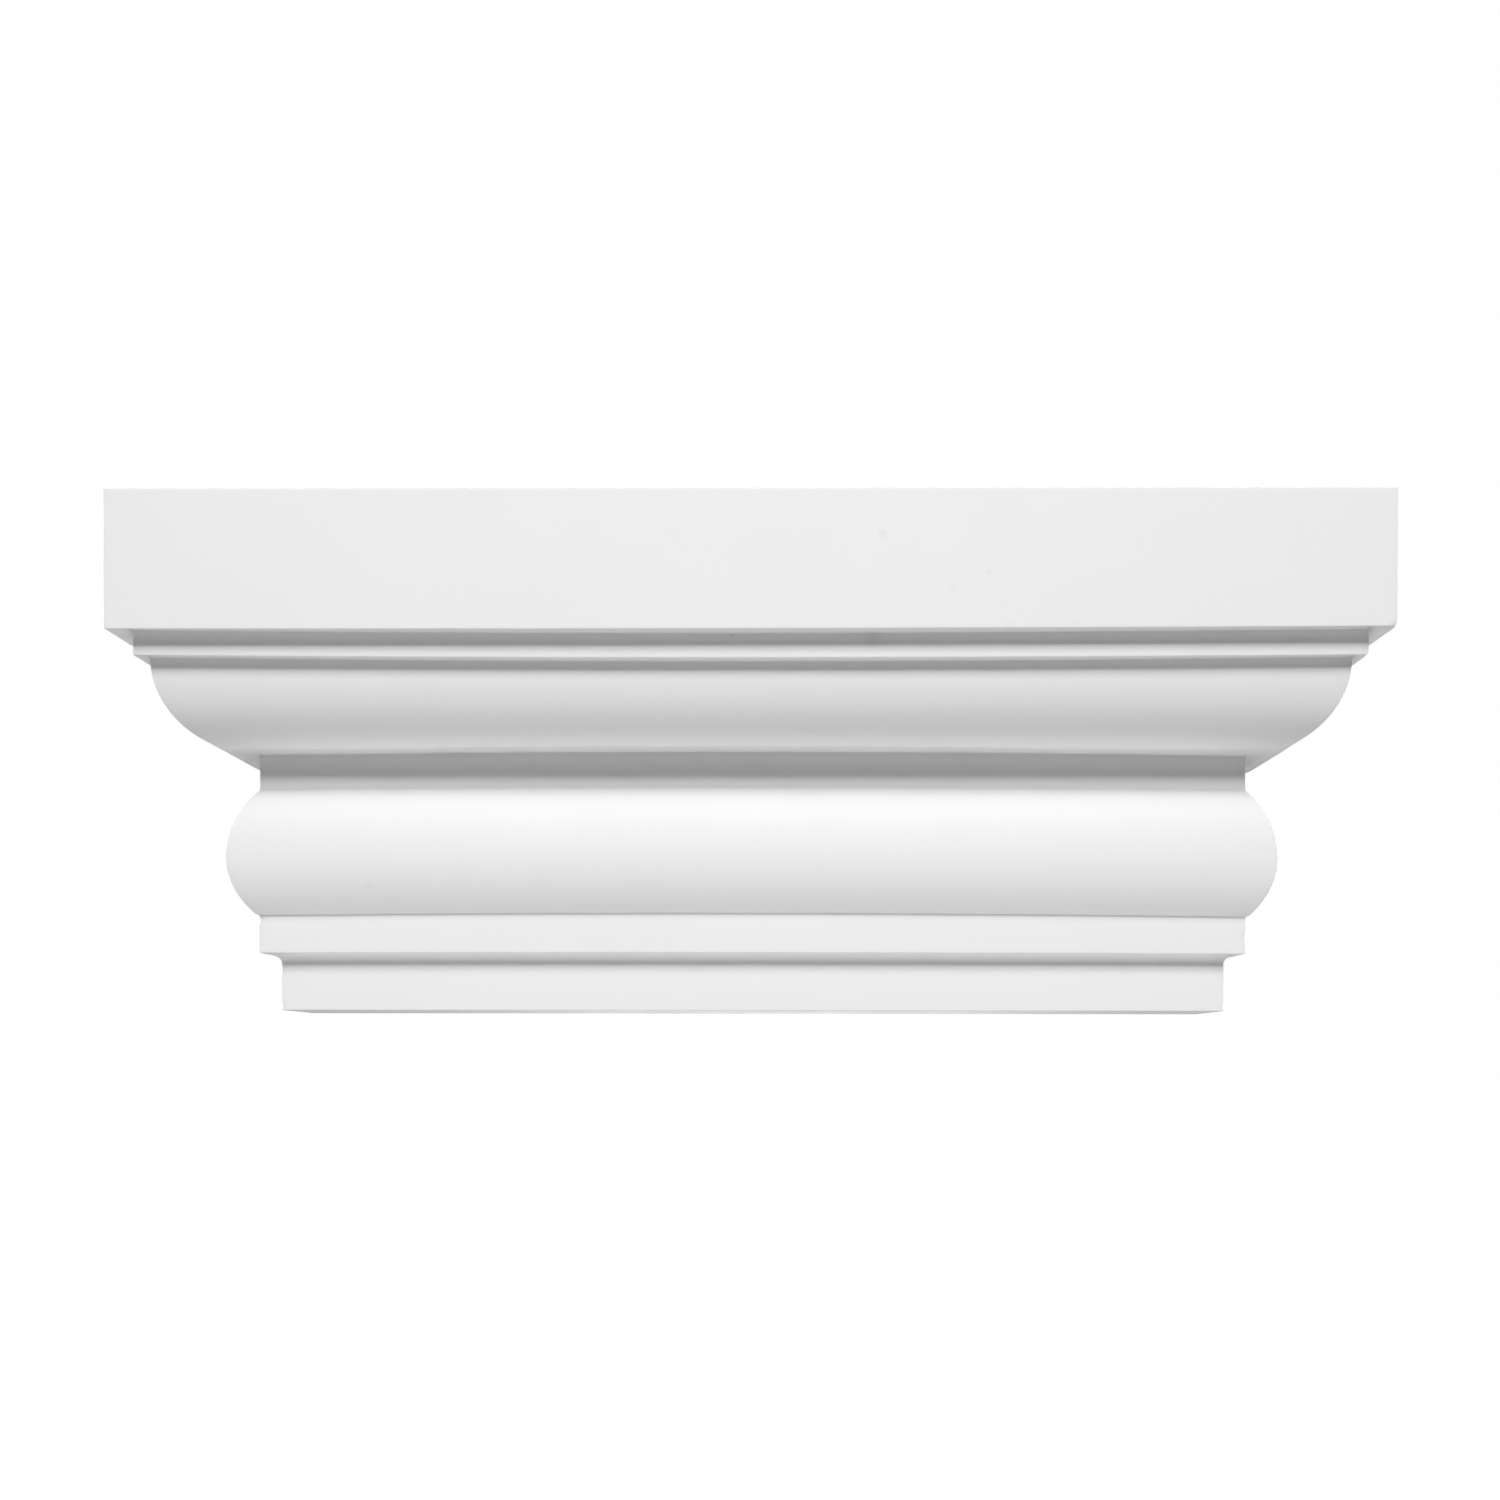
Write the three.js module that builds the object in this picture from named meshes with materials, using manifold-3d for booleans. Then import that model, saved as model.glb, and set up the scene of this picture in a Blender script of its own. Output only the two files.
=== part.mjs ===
// A pilaster capital: one moulding of rigid foam with a flat back. Its profile
// runs across the front and turns at a mitred corner into a return at each end.
//
// +X is to the right of someone who faces the capital, +Z is up, and the front
// looks towards -Y. The wall is the plane y = 0. The origin is the centre of the
// back face.

import * as THREE from 'three';
import { mergeVertices } from 'three/addons/utils/BufferGeometryUtils.js';
import Module from 'manifold-3d';

// Driving dimensions, in millimetres.

const ABACUS_WIDTH = 280;
const ABACUS_PROJECTION = 51.6;

// Heights of the mouldings, from the seat on the shaft upwards.
const FASCIA_HEIGHT = 10.9;
const CAVETTO_HEIGHT = 2.8;
const BAND_HEIGHT = 8.2;
const QUIRK_HEIGHT = 0.8;
const TORUS_HEIGHT = 28.7;
const NECK_HEIGHT = 8.6;
const OVOLO_HEIGHT = 16.8;
const FILLET_HEIGHT = 5.1;
const ABACUS_HEIGHT = 30.2;

// The torus swells most at this height above its own foot.
const TORUS_CREST = 12.6;

// Steps of the profile, measured level, square to the faces.
const FILLET_STEP = 4;
const OVOLO_STEP = 3.2;
const OVOLO_SWEEP = 13.3;
const OVOLO_SOFFIT = 4.7;
const TORUS_SWELL = 5.7;
const TORUS_LIP = 0.5;
const QUIRK_DEPTH = 0.4;
const CAVETTO_SWEEP = 3.8;

// Straight pieces in each arc of the profile.
const ARC_STEPS = 14;

// How far the two crossing prisms run past the finished body.
const OVERRUN = 10;

// The foam is primed white and left matt.
const FOAM_COLOUR = 0xf1f1ef;
const FOAM_ROUGHNESS = 0.85;

// Each moulding starts where the one below it stops.
const cavettoStart = FASCIA_HEIGHT;
const bandStart = cavettoStart + CAVETTO_HEIGHT;
const quirkStart = bandStart + BAND_HEIGHT;
const torusStart = quirkStart + QUIRK_HEIGHT;
const neckStart = torusStart + TORUS_HEIGHT;
const ovoloStart = neckStart + NECK_HEIGHT;
const filletStart = ovoloStart + OVOLO_HEIGHT;
const abacusStart = filletStart + FILLET_HEIGHT;
const capitalHeight = abacusStart + ABACUS_HEIGHT;

// Setbacks are counted inwards from the face of the abacus.
const filletSetback = FILLET_STEP;
const ovoloTopSetback = filletSetback + OVOLO_STEP;
const ovoloFootSetback = ovoloTopSetback + OVOLO_SWEEP;
const neckSetback = ovoloFootSetback + OVOLO_SOFFIT;
const fasciaSetback = neckSetback + CAVETTO_SWEEP;

// An arc that starts upright and rises by a height while it moves back has this
// radius.
function arcRadius(rise, back) {
  return (rise ** 2 + back ** 2) / (2 * back);
}

// The torus is fuller below than above. It is two arcs of circles that meet
// upright at its crest: the lower one ends TORUS_LIP out from the band, and the
// upper one ends in the face of the neck.
function addTorus(profile) {
  const crestSetback = neckSetback - TORUS_SWELL;
  const crestHeight = torusStart + TORUS_CREST;
  const upperRise = TORUS_HEIGHT - TORUS_CREST;
  const lowerRadius = arcRadius(TORUS_CREST, TORUS_SWELL - TORUS_LIP);
  const upperRadius = arcRadius(upperRise, TORUS_SWELL);
  const lowerAngle = Math.asin(TORUS_CREST / lowerRadius);
  const upperAngle = Math.asin(upperRise / upperRadius);
  profile.absarc(
    crestSetback + lowerRadius,
    crestHeight,
    lowerRadius,
    Math.PI + lowerAngle,
    Math.PI,
    true,
  );
  profile.absarc(
    crestSetback + upperRadius,
    crestHeight,
    upperRadius,
    Math.PI,
    Math.PI - upperAngle,
    true,
  );
}

// The cavetto is a hollow quarter of an ellipse, plumb where it leaves the
// fascia and level where it meets the underside of the band.
function addCavetto(profile) {
  profile.absellipse(
    neckSetback,
    cavettoStart,
    CAVETTO_SWEEP,
    CAVETTO_HEIGHT,
    0,
    Math.PI / 2,
    false,
  );
}

// The ovolo is a full quarter of an ellipse, level at its foot and plumb where
// it meets the underside of the fillet.
function addOvolo(profile) {
  profile.absellipse(
    ovoloFootSetback,
    filletStart,
    OVOLO_SWEEP,
    OVOLO_HEIGHT,
    Math.PI * 1.5,
    Math.PI,
    true,
  );
}

// The profile as points of (setback, height), from the seat up to the top.
function profilePoints() {
  const profile = new THREE.Path();
  profile.moveTo(fasciaSetback, 0);
  profile.lineTo(fasciaSetback, cavettoStart);
  addCavetto(profile);
  profile.lineTo(neckSetback, quirkStart);
  profile.lineTo(neckSetback + QUIRK_DEPTH, quirkStart);
  profile.lineTo(neckSetback + QUIRK_DEPTH, torusStart);
  profile.lineTo(neckSetback - TORUS_LIP, torusStart);
  addTorus(profile);
  profile.lineTo(neckSetback, ovoloStart);
  profile.lineTo(ovoloFootSetback, ovoloStart);
  addOvolo(profile);
  profile.lineTo(filletSetback, filletStart);
  profile.lineTo(filletSetback, abacusStart);
  profile.lineTo(0, abacusStart);
  profile.lineTo(0, capitalHeight);
  return profile.getPoints(ARC_STEPS);
}

// Seen from the front: the profile on the right, its mirror image on the left,
// and both run on past the seat and the top.
function frontOutline(points) {
  const right = points.map((point) => new THREE.Vector2(ABACUS_WIDTH / 2 - point.x, point.y));
  const above = right.at(-1).clone().add(new THREE.Vector2(0, OVERRUN));
  const below = right[0].clone().sub(new THREE.Vector2(0, OVERRUN));
  const rightSide = [below, ...right, above];
  const leftSide = rightSide.map((point) => new THREE.Vector2(-point.x, point.y)).reverse();
  return new THREE.Shape([...rightSide, ...leftSide]);
}

// Seen from the end: the profile in front, closed by the wall plane behind.
function endOutline(points) {
  const front = points.map((point) => new THREE.Vector2(point.x - ABACUS_PROJECTION, point.y));
  const backTop = new THREE.Vector2(0, capitalHeight);
  const backSeat = new THREE.Vector2(0, 0);
  return new THREE.Shape([...front, backTop, backSeat]);
}

// A prism whose outline lies in X and Z, cut across the depth of the capital.
function frontPrism(points) {
  const depth = ABACUS_PROJECTION + 2 * OVERRUN;
  const geometry = new THREE.ExtrudeGeometry(frontOutline(points), { depth, bevelEnabled: false });
  geometry.translate(0, 0, -OVERRUN);
  geometry.rotateX(Math.PI / 2);
  return geometry;
}

// A prism whose outline lies in Y and Z, cut across the width of the capital.
function endPrism(points) {
  const depth = ABACUS_WIDTH + 2 * OVERRUN;
  const geometry = new THREE.ExtrudeGeometry(endOutline(points), { depth, bevelEnabled: false });
  geometry.translate(0, 0, -depth / 2);
  geometry.rotateX(Math.PI / 2);
  geometry.rotateZ(Math.PI / 2);
  return geometry;
}

const wasm = await Module();
wasm.setup();

function toSolid(geometry) {
  const bare = geometry.clone();
  bare.deleteAttribute('normal');
  bare.deleteAttribute('uv');
  const merged = mergeVertices(bare);
  const mesh = new wasm.Mesh({
    numProp: 3,
    vertProperties: new Float32Array(merged.getAttribute('position').array),
    triVerts: new Uint32Array(merged.getIndex().array),
  });
  return new wasm.Manifold(mesh);
}

function toGeometry(solid) {
  const mesh = solid.getMesh();
  const geometry = new THREE.BufferGeometry();
  geometry.setAttribute('position', new THREE.BufferAttribute(mesh.vertProperties, mesh.numProp));
  geometry.setIndex(new THREE.BufferAttribute(mesh.triVerts, 1));
  geometry.computeVertexNormals();
  return geometry;
}

// Where the two prisms cross, each level is the same distance inside the face
// of the abacus on the front and on both ends, so the corners are true mitres.
function capital() {
  const points = profilePoints();
  const body = toSolid(frontPrism(points)).intersect(toSolid(endPrism(points)));
  const material = new THREE.MeshStandardMaterial({
    color: FOAM_COLOUR,
    roughness: FOAM_ROUGHNESS,
    metalness: 0,
  });
  const mesh = new THREE.Mesh(toGeometry(body), material);
  mesh.name = 'capital';
  mesh.position.z = -capitalHeight / 2;
  return mesh;
}

const group = new THREE.Group();
group.add(capital());

export default group;
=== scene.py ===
# %% [markdown]
# # A moulded pilaster capital
#
# This object is a plain classical capital for a flat pilaster. The real one is a
# single moulding of rigid foam, primed white in the factory. A wall stands behind
# it, the shaft of the pilaster ends under it, and a lintel or a cornice rests on it.
#
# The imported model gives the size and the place. Everything below is worked out in
# millimetres in that same frame and turned into metres only when a mesh is made.

# %% Load the frame
import math

import bmesh
import bpy
import numpy as np
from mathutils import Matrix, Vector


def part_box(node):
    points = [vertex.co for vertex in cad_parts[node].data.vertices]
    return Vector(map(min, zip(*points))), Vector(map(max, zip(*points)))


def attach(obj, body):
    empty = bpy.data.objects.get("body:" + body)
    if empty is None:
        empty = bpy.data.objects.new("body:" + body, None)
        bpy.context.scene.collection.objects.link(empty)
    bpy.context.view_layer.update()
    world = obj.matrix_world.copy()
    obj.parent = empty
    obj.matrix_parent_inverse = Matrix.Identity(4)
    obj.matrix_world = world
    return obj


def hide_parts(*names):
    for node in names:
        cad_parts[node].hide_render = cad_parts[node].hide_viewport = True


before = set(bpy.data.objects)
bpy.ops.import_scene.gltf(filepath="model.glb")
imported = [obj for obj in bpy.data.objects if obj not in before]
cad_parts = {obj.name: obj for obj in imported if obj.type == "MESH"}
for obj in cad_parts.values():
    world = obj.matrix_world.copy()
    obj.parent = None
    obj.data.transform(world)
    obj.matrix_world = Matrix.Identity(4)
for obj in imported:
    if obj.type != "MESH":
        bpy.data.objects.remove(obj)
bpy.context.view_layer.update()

MM = 0.001
node_low, node_high = (np.array(corner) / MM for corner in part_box("capital"))
WIDTH, PROJECTION, HEIGHT = node_high - node_low
SEAT = node_low[2]
print(f"capital {WIDTH:.1f} wide, {PROJECTION:.1f} deep, {HEIGHT:.1f} high, seat at {SEAT:.2f} mm")

# %% [markdown]
# ## The profile
#
# A run of mouldings is one drawn line that is carried along a path. The line here
# has two coordinates. The first is the setback, counted inwards from the face of
# the abacus. The second is the height above the seat on the shaft.
#
# It could be drawn as a curve and swept, but a curve gives little control of where
# the points fall. Worked out as an array, each moulding is a short formula: flats
# are straight, the ovolo and the cavetto are quarters of an ellipse, and the torus
# is two arcs of circles, because it is fuller below than above. A tiny cove joins
# it to the band. The soffits rise a little towards their outer edge, as they must
# if the piece is to come out of its mould.

# %% Sizes of the mouldings
# Heights above the seat.
FASCIA_TOP = 11.3
BAND_FOOT = 13.7
COVE_FOOT = 21.2
TORUS_FOOT = 22.7
TORUS_TOP = 51.4
OVOLO_FOOT = 60.0
FILLET_FOOT = 76.8
ABACUS_FOOT = 81.9
CREST = 35.3

# Setbacks from the face of the abacus. The band is as far in as the neck.
FASCIA_IN = 28.85
NECK_IN = 25.2
OVOLO_FOOT_IN = 20.5
OVOLO_TOP_IN = 6.95
FILLET_IN = 4.0
CREST_IN = 19.5
TORUS_FOOT_IN = 24.6
COVE_IN = 25.0

MOULD_DRAFT = math.radians(0.5)
ABACUS_LEAN = 0.15
RUN_ON = 2.0
STEP = 0.03


# %% Draw the profile
def straight(start, end):
    """Points from start to end, STEP apart: the start plus a growing share of the way."""
    count = max(2, int(math.dist(start, end) / STEP))
    share = np.linspace(0, 1, count, endpoint=False)[:, None]
    return np.array(start) * (1 - share) + np.array(end) * share


def elliptic(centre, across, up, start, end):
    """Points at the centre, plus across times the cosine of an angle and up times its
    sine, while the angle goes from start to end in degrees."""
    length = abs(math.radians(end - start)) * max(across, up)
    angle = np.radians(np.linspace(start, end, int(length / STEP), endpoint=False))
    return np.array(centre) + np.stack([across * np.cos(angle), up * np.sin(angle)], axis=1)


def torus_arcs():
    """Two circular arcs that meet upright at the crest. An arc that rises by r while it
    moves back by b has the radius (r squared plus b squared) over twice b."""
    arcs = []
    for end_in, end, upper in ((TORUS_FOOT_IN, TORUS_FOOT, False), (NECK_IN, TORUS_TOP, True)):
        rise, back = abs(end - CREST), end_in - CREST_IN
        radius = (rise**2 + back**2) / (2 * back)
        reach = math.degrees(math.asin(rise / radius))
        start, stop = (180, 180 - reach) if upper else (180 + reach, 180)
        arcs.append(elliptic((CREST_IN + radius, CREST), radius, radius, start, stop))
    return np.concatenate(arcs)


def profile_line():
    """The whole line from the seat up to the top, with sharp corners. It runs on for
    RUN_ON past the corners at the seat and the top, so that they can be softened too."""
    rise = math.tan(MOULD_DRAFT)
    ovolo_edge = OVOLO_FOOT + rise * (NECK_IN - OVOLO_FOOT_IN)
    fillet_edge = FILLET_FOOT + rise * (OVOLO_TOP_IN - FILLET_IN)
    abacus_edge = ABACUS_FOOT + rise * FILLET_IN
    sweep_in = FASCIA_IN - NECK_IN
    cove_in = NECK_IN - COVE_IN
    ovolo_out = OVOLO_FOOT_IN - OVOLO_TOP_IN
    return np.concatenate([
        straight((FASCIA_IN + RUN_ON, 0), (FASCIA_IN, 0)),
        straight((FASCIA_IN, 0), (FASCIA_IN, FASCIA_TOP)),
        elliptic((NECK_IN, FASCIA_TOP), sweep_in, BAND_FOOT - FASCIA_TOP, 0, 90),
        straight((NECK_IN, BAND_FOOT), (NECK_IN, COVE_FOOT)),
        elliptic((COVE_IN, COVE_FOOT), cove_in, TORUS_FOOT - COVE_FOOT, 0, 90),
        straight((COVE_IN, TORUS_FOOT), (TORUS_FOOT_IN, TORUS_FOOT)),
        torus_arcs(),
        straight((NECK_IN, TORUS_TOP), (NECK_IN, OVOLO_FOOT)),
        straight((NECK_IN, OVOLO_FOOT), (OVOLO_FOOT_IN, ovolo_edge)),
        elliptic((OVOLO_FOOT_IN, FILLET_FOOT), ovolo_out, FILLET_FOOT - ovolo_edge, 270, 180),
        straight((OVOLO_TOP_IN, FILLET_FOOT), (FILLET_IN, fillet_edge)),
        straight((FILLET_IN, fillet_edge), (FILLET_IN, ABACUS_FOOT)),
        straight((FILLET_IN, ABACUS_FOOT), (ABACUS_LEAN, abacus_edge)),
        straight((ABACUS_LEAN, abacus_edge), (0, HEIGHT)),
        straight((0, HEIGHT), (RUN_ON, HEIGHT)),
    ])


sharp_line = profile_line()
print(f"profile: {len(sharp_line)} points from {sharp_line[0]} to {sharp_line[-1]}")

# %% [markdown]
# ## Softened arrises
#
# Foam copies its mould well, but the arrises of a primed moulding are never keen:
# each one is rounded by about a quarter of a millimetre, and paint gathers in each
# inner corner. A bevel on every edge would do it, but the corners between a flat and an
# arc need care. Here the whole line is averaged with its neighbours instead, with
# weights that fall off as a bell curve. Flats and wide arcs stay as they are, and
# every corner is rounded alike.
#
# The line is then thinned out again. Points stay close where it turns and spread
# out where it runs straight.

# %% Soften the profile and choose its levels
# EDGE_TRIM drops the run-on, which lies level with the seat and the top.
SOFTNESS = 0.17
BELL_REACH = 4
LEVELS = 300
TURN_WEIGHT = 1.6
EDGE_TRIM = 0.0015


def length_along(line):
    """How far along the line each of its points lies."""
    return np.concatenate([[0], np.cumsum(np.hypot(*np.diff(line, axis=0).T))])


def even_points(line, spacing):
    """The same line with its points one spacing apart, by interpolation along its length."""
    along = length_along(line)
    wanted = np.arange(0, along[-1], spacing)
    return np.stack([np.interp(wanted, along, line[:, axis]) for axis in (0, 1)], axis=1)


def soften(line, radius):
    """Each point becomes the mean of its neighbours, weighted by the exponential of minus
    half the square of their distance over the radius. Beyond BELL_REACH times the radius
    the weights are too small to matter."""
    reach = int(BELL_REACH * radius / STEP)
    distance = np.arange(-reach, reach + 1) * STEP
    weight = np.exp(-0.5 * (distance / radius) ** 2)
    padded = np.pad(line, ((reach, reach), (0, 0)), mode="edge")
    columns = [np.convolve(padded[:, axis], weight / weight.sum(), mode="valid") for axis in (0, 1)]
    return np.stack(columns, axis=1)


def thin_out(line, count):
    """Keeps count points. The room each takes is its length plus TURN_WEIGHT times the
    angle that the line turns through there, so corners get the most points."""
    step = np.diff(line, axis=0)
    heading = np.unwrap(np.arctan2(step[:, 1], step[:, 0]))
    turn = np.abs(np.gradient(heading))
    cost = np.concatenate([[0], np.cumsum(np.hypot(*step.T) + TURN_WEIGHT * turn)])
    wanted = np.linspace(0, cost[-1], count)
    return np.stack([np.interp(wanted, cost, line[:, axis]) for axis in (0, 1)], axis=1)


even_line = even_points(sharp_line, STEP)
soft_line = soften(even_line, SOFTNESS)
inside = (soft_line[:, 1] > EDGE_TRIM) & (soft_line[:, 1] < HEIGHT - EDGE_TRIM)
levels = thin_out(soft_line[inside], LEVELS)
levels[0, 1], levels[-1, 1] = 0, HEIGHT
setback, level = levels.T
print(f"levels: {len(level)}, least rise between two {np.diff(level).min():.5f} mm")

# %% [markdown]
# ## Where painted shade goes
#
# The finish paints shade into the inner corners, so it has to know where those
# are. Shader nodes can find them, by casting rays or by reading the edges of the
# mesh, but their answer changes with the samples or with the mesh. The profile tells
# it better: where a wide average of the line stands in front of the line itself, the
# surface is hollow.

# %% How hollow each level is
HOLLOW_REACH = 1.1


def hollow_of(levels):
    """How far the wide average of the line stands in front of the line itself. It is the
    dot product of their difference with the direction that points out of the foam."""
    wide = soften(even_line, HOLLOW_REACH)
    step = np.gradient(soft_line, axis=0)
    out_of_foam = np.stack([-step[:, 1], step[:, 0]], axis=1) / np.hypot(*step.T)[:, None]
    lead = ((wide - soft_line) * out_of_foam).sum(axis=1)
    nearest = [np.argmin(np.hypot(*(soft_line - place).T)) for place in levels]
    return np.maximum(lead[nearest], 0)


hollow = hollow_of(levels)
print(f"deepest hollow {hollow.max():.2f} mm")

# %% [markdown]
# ## The block
#
# Seen from above, each level of the moulding is an oblong with its back on the wall
# and its two front corners slightly rounded. The corners of all levels lie over one
# another as mitres. So the front and the two returns are three grids, in which one
# direction follows the plan and the other climbs the profile.
#
# The back, the top and the seat are flat. Each could be a grid as well, but a single
# face with many corners says the same with far less. The three grids and the three
# flats share the points along their common edges, so the body is closed all round.

# %% Plan of every level
MITRE_RADIUS = 0.2
ARC_POINTS = 5
FRONT_POINTS = 140
FRONT_CROWDING = 0.55
RETURN_POINTS = 26
RETURN_POWER = 1.4


def crowded(count):
    """Shares from 0 to 1 that lie closer together at both ends. FRONT_CROWDING blends
    even steps with half of one minus the cosine."""
    even = np.linspace(0, 1, count)
    waved = (1 - np.cos(np.pi * even)) / 2
    return (1 - FRONT_CROWDING) * even + FRONT_CROWDING * waved


def corner_arc(half, front, first, last):
    """The left corner's arc from one angle to the other, without its last point. A point
    is the arc's centre less the radius times the cosine and the sine of its angle."""
    angle = np.radians(np.linspace(first, last, ARC_POINTS))[None, :-1]
    x = MITRE_RADIUS - half - MITRE_RADIUS * np.cos(angle)
    y = MITRE_RADIUS - front - MITRE_RADIUS * np.sin(angle)
    return x, y


def plan_front(half, front):
    """The front edge, from the middle of the left corner to the middle of the right one.
    Returns x and y with one row for each level."""
    arc_x, arc_y = corner_arc(half, front, 45, 90)
    run_x = (half - MITRE_RADIUS) * (2 * crowded(FRONT_POINTS)[None, :] - 1)
    run_y = np.broadcast_to(-front, run_x.shape)
    x = np.concatenate([arc_x, run_x, -arc_x[:, ::-1]], axis=1)
    return x, np.concatenate([arc_y, run_y, arc_y[:, ::-1]], axis=1)


def plan_return(half, front):
    """The left edge, from the middle of the corner back to the wall. The steps grow
    towards the wall, because each share is an even one to the power RETURN_POWER."""
    arc_x, arc_y = corner_arc(half, front, 45, 0)
    share = np.linspace(0, 1, RETURN_POINTS)[None, :] ** RETURN_POWER
    run_y = (MITRE_RADIUS - front) * (1 - share)
    run_x = np.broadcast_to(-half, run_y.shape)
    return np.concatenate([arc_x, run_x], axis=1), np.concatenate([arc_y, run_y], axis=1)


def level_of(corner):
    """The number of the level that passes nearest to a corner of the profile."""
    return int(np.argmin(np.hypot(*(levels - corner).T)))


def shared_out(table):
    """Values for every level, from a table of corners of the profile with their values.
    Between two corners the values change evenly along the profile. One row a level."""
    along = length_along(levels)
    corners = [along[level_of(corner)] for corner, _ in table]
    columns = zip(*(values for _, values in table))
    return np.stack([np.interp(along, corners, column) for column in columns], axis=1)


# The returns are cut a little further in than the front at the fascia, at the top of
# the ovolo and at the fillet.
RETURN_TRIM = [
    ((FASCIA_IN, FASCIA_TOP), (0.35,)),
    ((NECK_IN, BAND_FOOT), (0.0,)),
    ((OVOLO_FOOT_IN, OVOLO_FOOT), (0.0,)),
    ((OVOLO_TOP_IN, FILLET_FOOT), (0.3,)),
    ((FILLET_IN, FILLET_FOOT), (0.75,)),
    ((FILLET_IN, ABACUS_FOOT), (0.75,)),
    ((0, ABACUS_FOOT), (0.0,)),
]
half_width = (WIDTH / 2 - setback)[:, None] - shared_out(RETURN_TRIM)
front_depth = (PROJECTION - setback)[:, None]
front_x, front_y = plan_front(half_width, front_depth)
left_x, left_y = plan_return(half_width, front_depth)
print(f"plan: {front_x.shape[1]} points across the front, {left_x.shape[1]} along a return")

# %% [markdown]
# ## Long lines that are not quite straight
#
# The real moulding is not ruler straight. Foam shrinks as it cures, and its long
# arrises bow by a few tenths of a millimetre: in the middle of the front the torus
# sits a little high and the fillet a little low. In the middle the foot of the
# ovolo has also been rubbed down flat, so that a faint arris shows there and fades
# out towards both ends.
#
# Each corner of the profile is named here with how far it lies above its drawn
# height at the left, in the middle and at the right. A parabola through the three
# values gives the rest of the line.

# %% Bows of the long lines
# The last STRAIGHT_EDGE millimetres under the top don't bow.
STRAIGHT_EDGE = 8.0
BOWS = [
    ((FASCIA_IN, 0), (0.0, 0.0, 0.0)),
    ((FASCIA_IN, FASCIA_TOP), (0.0, 0.0, 0.0)),
    ((NECK_IN, BAND_FOOT), (-0.42, -0.27, -0.47)),
    ((NECK_IN, COVE_FOOT), (-0.45, 0.05, -0.65)),
    ((TORUS_FOOT_IN, TORUS_FOOT), (-0.42, 0.08, -0.62)),
    ((NECK_IN, TORUS_TOP), (0.0, 0.50, -0.07)),
    ((NECK_IN, OVOLO_FOOT), (-0.46, -0.02, -0.62)),
    ((OVOLO_FOOT_IN, OVOLO_FOOT), (-0.28, 0.0, -0.32)),
    ((OVOLO_TOP_IN, FILLET_FOOT), (0.35, -0.24, 0.42)),
    ((FILLET_IN, FILLET_FOOT), (-0.02, -0.36, 0.04)),
    ((FILLET_IN, ABACUS_FOOT), (0.50, 0.07, 0.67)),
    ((0, ABACUS_FOOT), (-0.28, -0.21, 0.10)),
    ((0, HEIGHT - STRAIGHT_EDGE), (0.0, 0.0, 0.0)),
    ((0, HEIGHT), (0.0, 0.0, 0.0)),
]
BOW_REACH = 105.0
BOW_LIMIT = 1.3


def bow(x):
    """How far each point of a grid moves up. With u as x over BOW_REACH, the parabola is
    the middle value, plus half of right less left times u, plus the mean of the ends less
    the middle times u squared. The grid has one row for each level."""
    left, middle, right = (column[:, None] for column in shared_out(BOWS).T)
    u = np.clip(x / BOW_REACH, -BOW_LIMIT, BOW_LIMIT)
    return middle + (right - left) / 2 * u + ((left + right) / 2 - middle) * u**2


# %% Raise the levels and rub the foot of the ovolo
RUB_DEPTH = 0.16
# Painted shade on the rubbed foot of the ovolo and on the soffit beside it.
RUBBED_SHADE = 0.26
SOFFIT_RISE = 0.06


def raised(x, y):
    """A grid of x, y, z and the share of painted shade at each point, which is how hollow it
    is. Each level lies at its drawn height plus its bow. No part of the ovolo hangs below a
    plane that lies RUB_DEPTH above its foot in the middle and less towards the ends, which
    is what rubs the foot flat. The rubbed strip and the soffit beside it get a fixed share
    of painted shade, as if they were a hollow."""
    lift = bow(x)
    z = level[:, None] + lift
    ovolo = slice(level_of((NECK_IN, OVOLO_FOOT)), level_of((OVOLO_TOP_IN, FILLET_FOOT)))
    depth = RUB_DEPTH * np.clip(1 - (x[ovolo] / BOW_REACH) ** 2, 0, 1)
    rise = math.tan(MOULD_DRAFT) * (NECK_IN - setback[ovolo, None])
    plane = OVOLO_FOOT + lift[ovolo.start] + depth + rise
    rubbed = (z[ovolo] < plane) | (level[ovolo, None] < OVOLO_FOOT + SOFFIT_RISE)
    z[ovolo] = np.maximum(z[ovolo], plane)
    # Painted shade follows the hollows, and the rubbed strip and its soffit get more.
    painted_shade = np.repeat(hollow[:, None], x.shape[1], axis=1)
    painted_shade[ovolo] = np.maximum(painted_shade[ovolo], rubbed * RUBBED_SHADE)
    return np.stack([x, y, z, painted_shade], axis=-1)


front_side = raised(front_x, front_y)
left_side = raised(left_x, left_y)
right_side = raised(-left_x, left_y)


# %% Join the sides
WELD_DIGITS = 5


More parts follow.
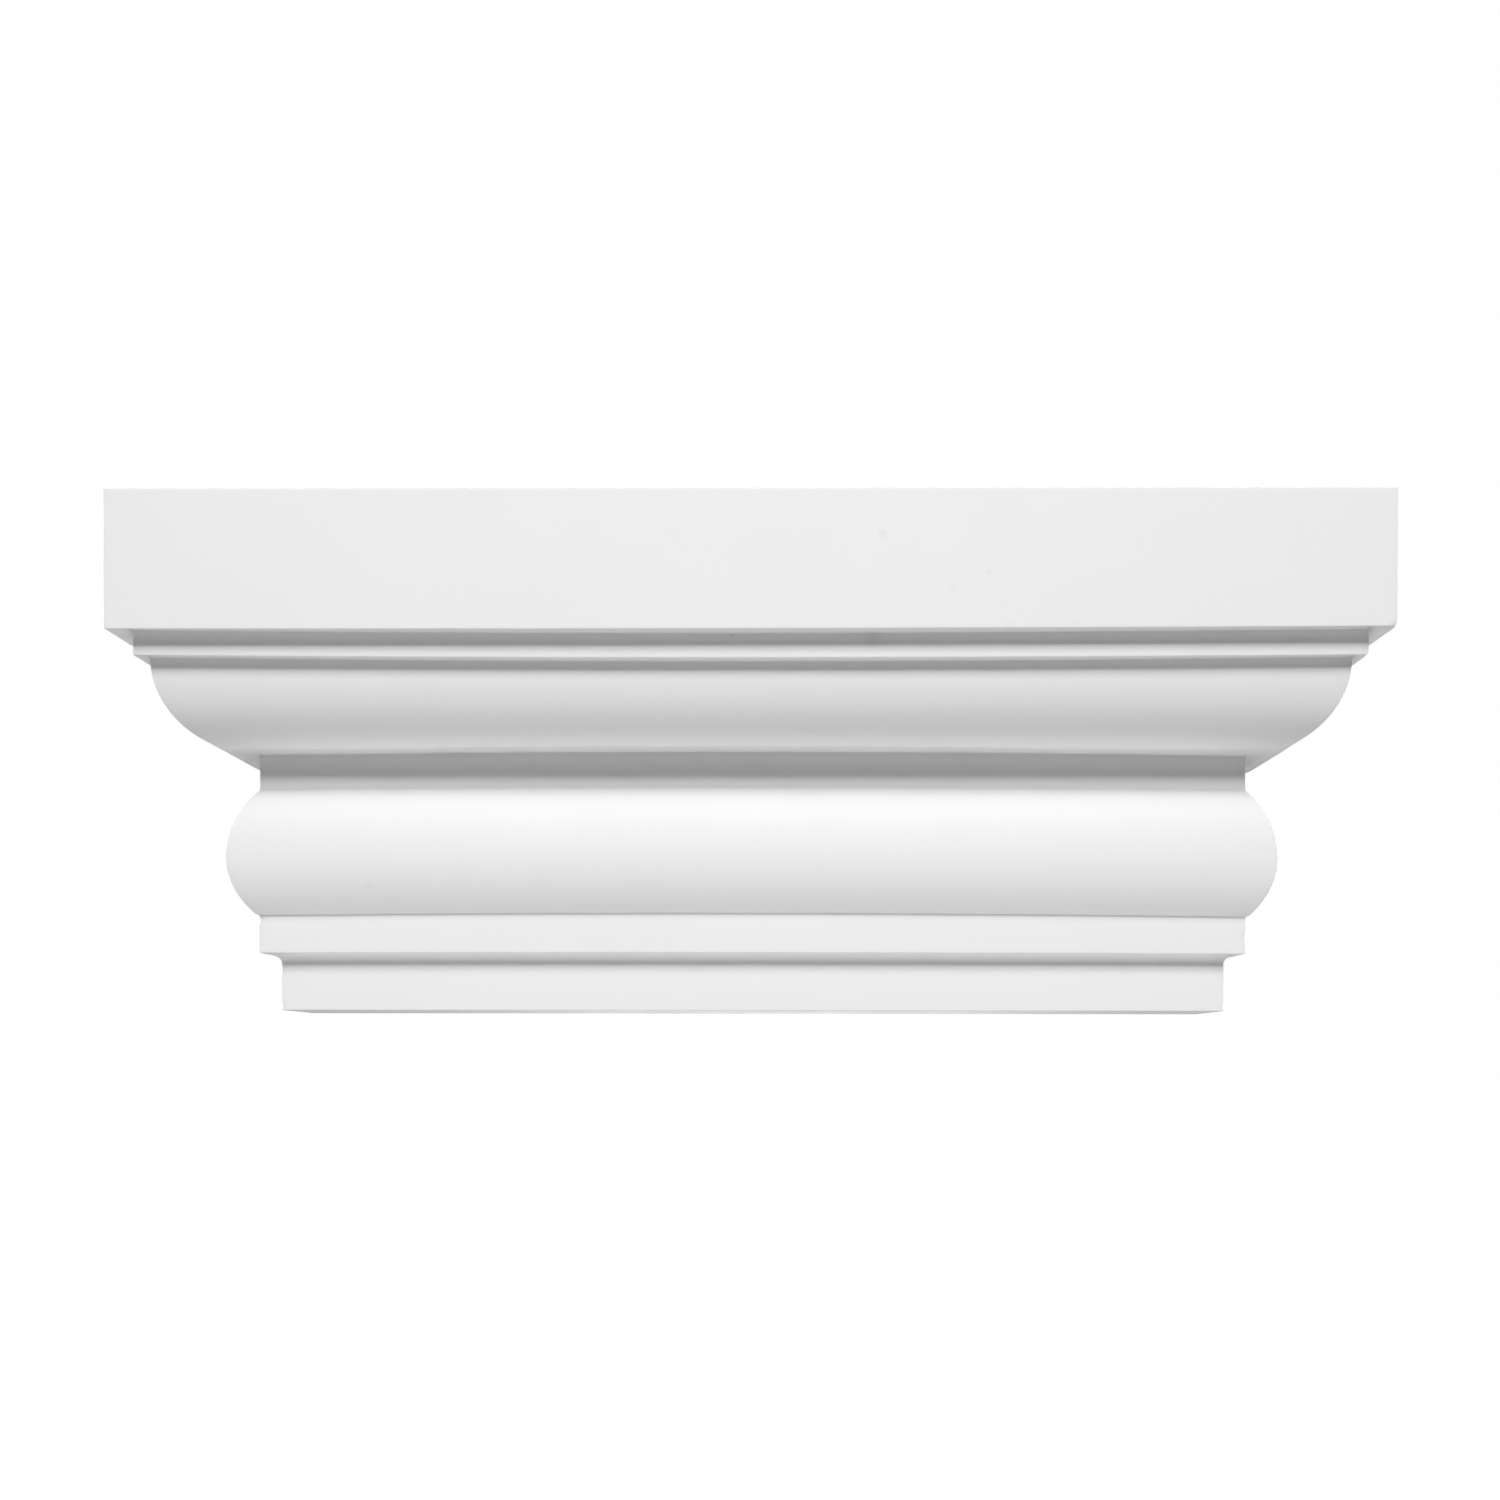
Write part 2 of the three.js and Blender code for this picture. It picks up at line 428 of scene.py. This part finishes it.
def join_sides(front, left, right):
    """One list of points, one of their hollows, one of four-cornered faces and one of the
    three flats. Grid points that are the same to WELD_DIGITS decimals become one. A
    face's corners go round it against the clock, as seen from outside."""
    grids, quads, numbers, first = [front, left, right], [], [], 0
    for grid, flipped in zip(grids, (False, True, False)):
        n = first + np.arange(grid.shape[0] * grid.shape[1]).reshape(grid.shape[:2])
        quad = np.stack([n[:-1, :-1], n[:-1, 1:], n[1:, 1:], n[1:, :-1]], axis=-1).reshape(-1, 4)
        quads.append(quad[:, ::-1] if flipped else quad)
        numbers.append(n)
        first += n.size
    on_front, on_left, on_right = numbers
    back = np.concatenate([on_left[:, -1], on_right[::-1, -1]])
    top = np.concatenate([on_front[-1], on_right[-1, 1:], on_left[-1, :0:-1]])
    seat = np.concatenate([on_front[0], on_right[0, 1:], on_left[0, :0:-1]])[::-1]
    rows = np.concatenate([grid.reshape(-1, 4) for grid in grids])
    single, index = np.unique(np.round(rows, WELD_DIGITS), axis=0, return_inverse=True)
    index = index.reshape(-1)
    flats = [index[back], index[top], index[seat]]
    return single[:, :3], single[:, 3], index[np.concatenate(quads)], flats


points, point_hollow, faces, flats = join_sides(front_side, left_side, right_side)
print(f"block: {len(points)} points, {len(faces)} small faces and {len(flats)} flats")

# %% [markdown]
# ## Waviness and nicks
#
# No face of a foam moulding is perfectly flat. A sum of a few long, low waves gives
# the faces the faint unevenness that shows as soft shifts of tone. The arrises of
# the mitres also have small nicks, where the piece was trimmed and handled. Both
# are moves of the mesh's own points, so they are there from every side.

# %% Waviness of the faces
WAVE_HEIGHT = 0.03
WAVE_COUNT = 9
SHORTEST_WAVE, LONGEST_WAVE = 14.0, 60.0
WAVE_FADE = 4.0
random = np.random.default_rng(seed=7)


def waviness(place):
    """A sum of WAVE_COUNT flat waves, each the sine of the place along a random direction
    over a random length, plus a random start. The sum is scaled to WAVE_HEIGHT."""
    total = np.zeros(len(place))
    for _ in range(WAVE_COUNT):
        direction = random.normal(size=3)
        direction /= np.linalg.norm(direction)
        length = random.uniform(SHORTEST_WAVE, LONGEST_WAVE)
        total += np.sin(place @ direction * 2 * np.pi / length + random.uniform(0, 2 * np.pi))
    return WAVE_HEIGHT * total / math.sqrt(WAVE_COUNT)


def outward(points, faces):
    """The direction square to the surface at each point: the sum of the cross products of
    the diagonals of its faces, divided by its own length."""
    a, b, c, d = (points[faces[:, i]] for i in range(4))
    face_normal = np.cross(c - a, d - b)
    total = np.zeros_like(points)
    for i in range(4):
        np.add.at(total, faces[:, i], face_normal)
    return total / np.linalg.norm(total, axis=1)[:, None]


# %% Nicks in the mitred arrises
# Each nick: the side (-1 left, 1 right), the height of its middle, its half length along
# the arris and its depth.
NICKS = [
    (-1, 20.9, 0.7, 0.30),
    (-1, 9.4, 0.9, 0.22),
    (-1, 30.2, 0.5, 0.12),
    (-1, 80.9, 0.5, 0.14),
    (1, 17.2, 1.1, 0.24),
    (1, 38.6, 0.5, 0.18),
    (1, 41.4, 0.6, 0.15),
    (1, 36.1, 0.4, 0.14),
    (1, 82.3, 0.7, 0.40),
    (1, 77.3, 0.6, 0.35),
    (1, 56.5, 0.5, 0.12),
    (1, 33.6, 0.4, 0.10),
    (1, 44.8, 0.5, 0.10),
    (-1, 0.9, 0.8, 0.50),
    (1, 0.9, 0.9, 0.35),
]
NICK_WIDTH = 0.8
NICK_FADE = 1.0


def nick_depth(points):
    """How deep each point is pushed in. It is the depth of the nick times two bell curves:
    one of the height above or below its middle, one of the distance from the mitre."""
    x, y, z = points.T
    from_mitre = np.abs((WIDTH / 2 - np.abs(x)) - (PROJECTION + y))
    depth = np.zeros(len(points))
    for side, middle, half_length, most in NICKS:
        along = np.exp(-(((z - middle) / half_length) ** 2))
        depth += most * along * np.exp(-((from_mitre / NICK_WIDTH) ** 2)) * (np.sign(x) == side)
    return depth


def worn(points, faces):
    """The block after handling. A point moves along its outward direction by the waviness
    less the depth of the nicks, but never out of the drawn block. Both fade to nothing
    over WAVE_FADE and NICK_FADE before the wall, the seat and the top."""
    x, y, z = points.T
    edge = np.minimum.reduce([-y, z, HEIGHT - z])
    waves = waviness(points) * np.clip(edge / WAVE_FADE, 0, 1)
    nicks = nick_depth(points) * np.clip(edge / NICK_FADE, 0, 1)
    shift = waves - nicks
    moved = points + outward(points, faces) * shift[:, None]
    return np.clip(moved, (-WIDTH / 2, -PROJECTION, 0), (WIDTH / 2, 0, HEIGHT))


points = worn(points, faces)
points[:, 2] += SEAT
print(f"worn block: low {points.min(axis=0).round(2)}, high {points.max(axis=0).round(2)} mm")

# %% [markdown]
# ## The mesh
#
# The arrays go into a Blender mesh in two calls. The mouldings are shaded smoothly.
# The back, the top and the seat are cut flat on the real piece, so they are shaded
# flat, and the arrises against the wall stay sharp.

# %% Make the piece
SHARP_ANGLE = math.radians(40)


def make_piece(name, points, point_hollow, faces, flats):
    """A mesh object from an array of points in millimetres, one of four-cornered faces and
    a list of flats. The hollow of each point goes with it as an attribute, for the primer
    to read."""
    mesh = bpy.data.meshes.new(name)
    all_faces = faces.tolist() + [flat.tolist() for flat in flats]
    mesh.from_pydata((points * MM).tolist(), [], all_faces)
    attribute = mesh.attributes.new("hollow", "FLOAT", "POINT")
    attribute.data.foreach_set("value", point_hollow)
    mesh.shade_smooth()
    mesh.set_sharp_from_angle(angle=SHARP_ANGLE)
    for flat in mesh.polygons[-len(flats):]:
        flat.use_smooth = False
    piece = bpy.data.objects.new(name, mesh)
    bpy.context.scene.collection.objects.link(piece)
    return piece


capital = make_piece("capital_moulding", points, point_hollow, faces, flats)

# %% Measure the piece
measured = bmesh.new()
measured.from_mesh(capital.data)
open_edges = sum(not edge.is_manifold for edge in measured.edges)
print(f"mesh: {len(measured.calc_loop_triangles())} triangles, {open_edges} open edges")
measured.free()

# %% [markdown]
# ## The primer
#
# The finish is a matt white primer on a dense moulded skin. It has next to no
# colour of its own, so what makes it real is small: a faint mottling where it went
# on thicker, painted shade in the inner corners, a few smudges from handling, and a
# fine orange peel that only a raking light brings out. The back is not primed. There
# the pale skin of the foam shows, with its open pores, which get painted shade in
# their middles.
#
# An image of a painted surface would do for one view. A finish worked out from the
# place of each point does for every view, and it has no seams. So everything here
# starts from the object's own coordinates.

# %% A small kit for shader nodes
def node(tree, kind, **values):
    """Adds a shader node. A value goes into the input with its name, or into the node's
    own setting where no input has that name. A socket is linked."""
    made = tree.nodes.new(kind)
    for key, value in values.items():
        if key not in made.inputs:
            setattr(made, key, value)
        elif isinstance(value, bpy.types.NodeSocket):
            tree.links.new(value, made.inputs[key])
        else:
            made.inputs[key].default_value = value
    return made


def math_node(tree, operation, *terms):
    """The result of a Math node. Its terms are numbers or sockets."""
    made = node(tree, "ShaderNodeMath", operation=operation)
    for socket, term in zip(made.inputs, terms):
        if isinstance(term, bpy.types.NodeSocket):
            tree.links.new(term, socket)
        else:
            socket.default_value = term
    return made.outputs[0]


def noise(tree, place, size, detail):
    """Noise around one half, with lumps about as large as size, in millimetres, and with
    as many finer layers as detail says."""
    made = node(tree, "ShaderNodeTexNoise", Vector=place, Scale=1 / (size * MM), Detail=detail)
    return made.outputs["Fac"]


def mapped(tree, value, start, end, low, high):
    """Low where the value is at start, high where it is at end, and smooth in between."""
    made = node(tree, "ShaderNodeMapRange", interpolation_type="SMOOTHSTEP", Value=value)
    for name, number in zip(("From Min", "From Max", "To Min", "To Max"), (start, end, low, high)):
        made.inputs[name].default_value = number
    return made.outputs["Result"]


# %% Smudges and specks
# Each smudge: how far right of the middle, its height above the seat, its radius, and
# the share of the primer that it hides.
SMUDGES = [
    (28.9, 102.3, 1.5, 0.095),
    (51.8, 93.9, 1.2, 0.075),
    (44.0, 90.4, 1.5, 0.03),
    (56.6, 83.1, 1.4, 0.04),
    (70.8, 83.3, 1.4, 0.05),
    (27.0, 80.7, 2.8, 0.15),
    (-3.9, 81.2, 0.7, 0.25),
    (37.1, 75.3, 1.1, 0.09),
    (-88.1, 28.4, 1.4, 0.09),
    (-71.3, 70.3, 1.1, 0.05),
]


def front_point(x, height):
    """The place, in metres, of the point of the front at this height. It takes the level
    nearest in height."""
    depth = setback[np.argmin(np.abs(level - height))] - PROJECTION
    return np.array((x, depth, height + SEAT)) * MM


def smudge_total(tree, place):
    """All smudges together. Each one is full in its middle and fades out at its radius."""
    total = 0.0
    for x, height, radius, cover in SMUDGES:
        reach = node(tree, "ShaderNodeVectorMath", operation="DISTANCE")
        tree.links.new(place, reach.inputs[0])
        reach.inputs[1].default_value = front_point(x, height)
        spot = mapped(tree, reach.outputs["Value"], 0, radius * MM, cover, 0)
        total = math_node(tree, "ADD", spot, total)
    return total


# %% The primer and the bare back
PRIMER_WHITE = (0.80, 0.80, 0.80, 1)
# The darker colour stands for real grime and also for painted shade in the hollows, on the rubbed
# ovolo foot and in the pores.
GRIME_AND_SHADE = (0.28, 0.275, 0.265, 1)
FOAM_CREAM = (0.70, 0.655, 0.56, 1)

# Shares of the grime colour, which gives real mottling, smudges and tone of the foam,
# and painted shade in the hollows and in the middles of the pores. The lump sizes and
# the hollows are in millimetres.
MOTTLE, MOTTLE_SIZE = 0.022, 32
FINE_MOTTLE, FINE_MOTTLE_SIZE = 0.012, 2.5
# Painted shade in the inner corners, at its most where a point is HOLLOW_FULL hollow.
HOLLOW_SHADE, HOLLOW_LEAST, HOLLOW_FULL = 0.17, 0.02, 0.30
FOAM_SHADE, FOAM_SHADE_SIZE = 0.35, 9
# Painted shade in the middles of the pores.
PORE_SHADE = 0.3

# The sheen of the primer, from its smoothest to its roughest patches. Nearly all of the
# noise lies inside NOISE_RANGE, which is spread over the whole of ROUGHNESS.
ROUGHNESS, SHEEN_SIZE = (0.68, 0.73), 14
NOISE_RANGE = (0.3, 0.7)

# The orange peel, and the pores with their middle and their rim as shares of a cell.
PEEL_HEIGHT, PEEL_SIZE = 0.005 * MM, 1.6
PORE_DEPTH, PORE_SIZE = 0.12 * MM, 0.9
PORE_MIDDLE, PORE_RIM = 0.12, 0.34

# Where the primer ends near the back.
PRIMER_EDGE, PRIMER_EDGE_SIZE = 1.2 * MM, 3
PRIMER_FADE = 0.1 * MM


def grime_and_shade_share(tree, place):
    """How much of the primer is hidden: mottling, painted shade in the hollows, and smudges."""
    coarse = math_node(tree, "MULTIPLY", noise(tree, place, MOTTLE_SIZE, 2), MOTTLE)
    fine = math_node(tree, "MULTIPLY", noise(tree, place, FINE_MOTTLE_SIZE, 3), FINE_MOTTLE)
    hollows = node(tree, "ShaderNodeAttribute", attribute_name="hollow")
    # Painted shade in the inner corners, by how hollow each point is.
    painted_shade = mapped(tree, hollows.outputs["Fac"], HOLLOW_LEAST, HOLLOW_FULL, 0, HOLLOW_SHADE)
    total = math_node(tree, "ADD", coarse, fine)
    total = math_node(tree, "ADD", total, painted_shade)
    return math_node(tree, "ADD", total, smudge_total(tree, place))


def bare_share(tree, place):
    """One on the back and nought elsewhere. The primer ends up to PRIMER_EDGE short of the
    back, and its edge wanders."""
    depth = node(tree, "ShaderNodeSeparateXYZ", Vector=place).outputs["Y"]
    wander = math_node(tree, "MULTIPLY", noise(tree, place, PRIMER_EDGE_SIZE, 2), PRIMER_EDGE)
    edge = math_node(tree, "ADD", depth, wander)
    return mapped(tree, edge, -PRIMER_FADE, 0, 0, 1)


def pores(tree, place):
    """Nought in the middle of a pore and one on the skin between the pores."""
    cells = node(tree, "ShaderNodeTexVoronoi", Vector=place, Scale=1 / (PORE_SIZE * MM))
    return mapped(tree, cells.outputs["Distance"], PORE_MIDDLE, PORE_RIM, 0, 1)


def blend(tree, share, first, second):
    """A colour between the first and the second."""
    made = node(tree, "ShaderNodeMix", data_type="RGBA")
    tree.links.new(share, made.inputs["Factor"])
    for socket, colour in zip([s for s in made.inputs if s.type == "RGBA"], (first, second)):
        if isinstance(colour, bpy.types.NodeSocket):
            tree.links.new(colour, socket)
        else:
            socket.default_value = colour
    return next(s for s in made.outputs if s.type == "RGBA")


def primer_material():
    """Matt white primer on the faces and bare foam on the back."""
    material = bpy.data.materials.new("primer_and_foam")
    material.use_nodes = True
    tree = material.node_tree
    shader = tree.nodes["Principled BSDF"]
    place = node(tree, "ShaderNodeTexCoord").outputs["Object"]
    bare, skin = bare_share(tree, place), pores(tree, place)

    # This colour gives real mottling and smudges, and painted shade in the inner corners and on the
    # rubbed ovolo foot.
    primed = blend(tree, grime_and_shade_share(tree, place), PRIMER_WHITE, GRIME_AND_SHADE)
    shade = math_node(tree, "MULTIPLY", noise(tree, place, FOAM_SHADE_SIZE, 3), FOAM_SHADE)
    foam = blend(tree, shade, FOAM_CREAM, GRIME_AND_SHADE)
    # The middles of the pores get painted shade.
    foam = blend(tree, mapped(tree, skin, 0, 1, PORE_SHADE, 0), foam, GRIME_AND_SHADE)
    tree.links.new(blend(tree, bare, primed, foam), shader.inputs["Base Color"])

    matt = mapped(tree, noise(tree, place, SHEEN_SIZE, 2), *NOISE_RANGE, *ROUGHNESS)
    tree.links.new(matt, shader.inputs["Roughness"])

    peel = math_node(tree, "MULTIPLY", noise(tree, place, PEEL_SIZE, 2), PEEL_HEIGHT)
    pit = math_node(tree, "MULTIPLY", math_node(tree, "MULTIPLY", skin, bare), PORE_DEPTH)
    height = math_node(tree, "ADD", peel, pit)
    relief = node(tree, "ShaderNodeBump", Height=height, Strength=1.0, Distance=1.0)
    tree.links.new(relief.outputs["Normal"], shader.inputs["Normal"])
    print(f"primer: {len(tree.nodes)} nodes")
    return material


capital.data.materials.append(primer_material())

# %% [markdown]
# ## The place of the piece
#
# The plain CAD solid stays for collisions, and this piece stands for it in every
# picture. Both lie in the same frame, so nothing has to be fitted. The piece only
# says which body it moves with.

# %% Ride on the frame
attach(capital, "root")
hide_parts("capital")

# %% [markdown]
# ## The camera
#
# The photograph looks at the capital square from the front, from just below its
# seat, so that every soffit shows as a thin line. Upright lines stay upright in it,
# which a view camera does by raising the picture and not by tilting. Blender does
# the same with the camera's shift.

# %% Place the camera
# The first six are in pixels of the whole picture, in which the abacus is ABACUS_PX
# wide. The lens looks at CENTRE_PX. It stands DISTANCE_PX in front of the abacus,
# ASIDE_PX to the right of its middle and BELOW_SEAT_PX under the seat.
PICTURE = 1500
ABACUS_PX = 1295.8
DISTANCE_PX = 1502.0
CENTRE_PX = (790.8, 1059.6)
ASIDE_PX = 42.55
BELOW_SEAT_PX = 53.15

SENSOR_WIDTH = 36
PIXEL = WIDTH / ABACUS_PX
YAW = math.radians(0.35)
ROLL = math.radians(-0.08)

camera_data = bpy.data.cameras.new("camera")
camera_data.sensor_width = SENSOR_WIDTH
camera_data.lens = SENSOR_WIDTH * DISTANCE_PX / PICTURE
camera_data.shift_x = (PICTURE / 2 - CENTRE_PX[0] + DISTANCE_PX * math.tan(YAW)) / PICTURE
camera_data.shift_y = (CENTRE_PX[1] - PICTURE / 2) / PICTURE
camera = bpy.data.objects.new("camera", camera_data)
bpy.context.scene.collection.objects.link(camera)
camera.location = (
    ASIDE_PX * PIXEL * MM,
    -(PROJECTION + DISTANCE_PX * PIXEL) * MM,
    (SEAT - BELOW_SEAT_PX * PIXEL) * MM,
)
camera.rotation_euler = (math.radians(90), ROLL, YAW)
bpy.context.scene.camera = camera
print(f"camera at {np.round(camera.location, 4)} m")
print(f"shift {camera_data.shift_x:.4f} across and {camera_data.shift_y:.4f} up")

# %% [markdown]
# ## The studio
#
# The photograph is evenly lit from the front. The short shadows under the soffits
# have a wide, soft edge, so the main light is a tall one: it reaches from about 36
# to 57 degrees above the level. Three boxes stand for it, one above the other, and
# the middle one is the strongest. The pale soffits tell of a white board that lies
# in front, below the piece. Two long, low boxes stand for that. All of them are
# area lights, because only a light with a size gives soft edges.
#
# Two more boxes stand at the sides and one behind. From the front they only touch
# the outline, but from anywhere else they show the returns and the back.
#
# The floor and the surroundings are plain white, as bright as paper can look.

# %% Soft boxes
AIM = np.array([0.0, -0.03, 0.0])


def soft_box(name, azimuth, elevation, distance, width, length, strength):
    """An area light that faces AIM. Azimuth 0 is in front, and 90 is on the right. Its
    power is the strength times pi squared times the square of the distance, so that a
    white face square to a light of strength 1 looks fully white."""
    data = bpy.data.lights.new(name, "AREA")
    data.shape = "RECTANGLE"
    data.size, data.size_y = width, length
    data.energy = strength * (math.pi * distance) ** 2
    light = bpy.data.objects.new(name, data)
    bpy.context.scene.collection.objects.link(light)
    turn, rise = math.radians(azimuth), math.radians(elevation)
    ahead, up = math.cos(rise), math.sin(rise)
    away = np.array([math.sin(turn) * ahead, -math.cos(turn) * ahead, up])
    light.location = AIM + distance * away
    light.rotation_euler = (math.radians(90) - rise, 0, turn)
    light.visible_camera = False


# Each box: its name, azimuth, elevation, distance, width, length and strength. Angles
# are in degrees and lengths in metres.
SOFT_BOXES = [
    ("key_edge", 0, 35.3, 1.2, 0.30, 0.10, 0.322),
    ("key_body", 0, 44.8, 1.2, 0.30, 0.30, 0.683),
    ("key_top", 0, 56.3, 1.2, 0.30, 0.12, 0.094),
    ("fill_low", 0, -54, 0.5, 0.90, 0.12, 0.516),
    ("fill_near", 0, -78, 0.5, 0.90, 0.12, 0.344),
    ("side_left", -115, 15, 1.2, 0.5, 0.5, 0.6),
    ("side_right", 115, 15, 1.2, 0.5, 0.5, 0.6),
    ("behind", 180, -10, 1.2, 0.5, 0.5, 0.55),
]
for box in SOFT_BOXES:
    soft_box(*box)
print(f"{len(SOFT_BOXES)} soft boxes")

# %% White surroundings
scene = bpy.context.scene
scene.view_settings.view_transform = "Standard"
world = bpy.data.worlds.new("white_room")
world.use_nodes = True
scene.world = world
tree = world.node_tree
room = tree.nodes["Background"]
room.inputs["Color"].default_value = (1, 1, 1, 1)
rays = node(tree, "ShaderNodeLightPath")
tree.links.new(rays.outputs["Is Camera Ray"], room.inputs["Strength"])


def white_floor(half_size, height):
    """A flat square, half_size metres each way from the middle, that glows paper white."""
    corners = half_size * np.array([(-1, -1), (1, -1), (1, 1), (-1, 1)])
    mesh = bpy.data.meshes.new("floor")
    mesh.from_pydata(np.c_[corners, np.full(4, height)].tolist(), [], [(0, 1, 2, 3)])
    material = bpy.data.materials.new("floor_white")
    material.use_nodes = True
    shader = material.node_tree.nodes["Principled BSDF"]
    shader.inputs["Base Color"].default_value = (0.8, 0.8, 0.8, 1)
    shader.inputs["Emission Color"].default_value = (1, 1, 1, 1)
    shader.inputs["Emission Strength"].default_value = 1.0
    mesh.materials.append(material)
    floor = bpy.data.objects.new("floor", mesh)
    scene.collection.objects.link(floor)
    floor.visible_diffuse = floor.visible_glossy = floor.visible_shadow = False
    return floor


floor = white_floor(half_size=6.0, height=-0.55)
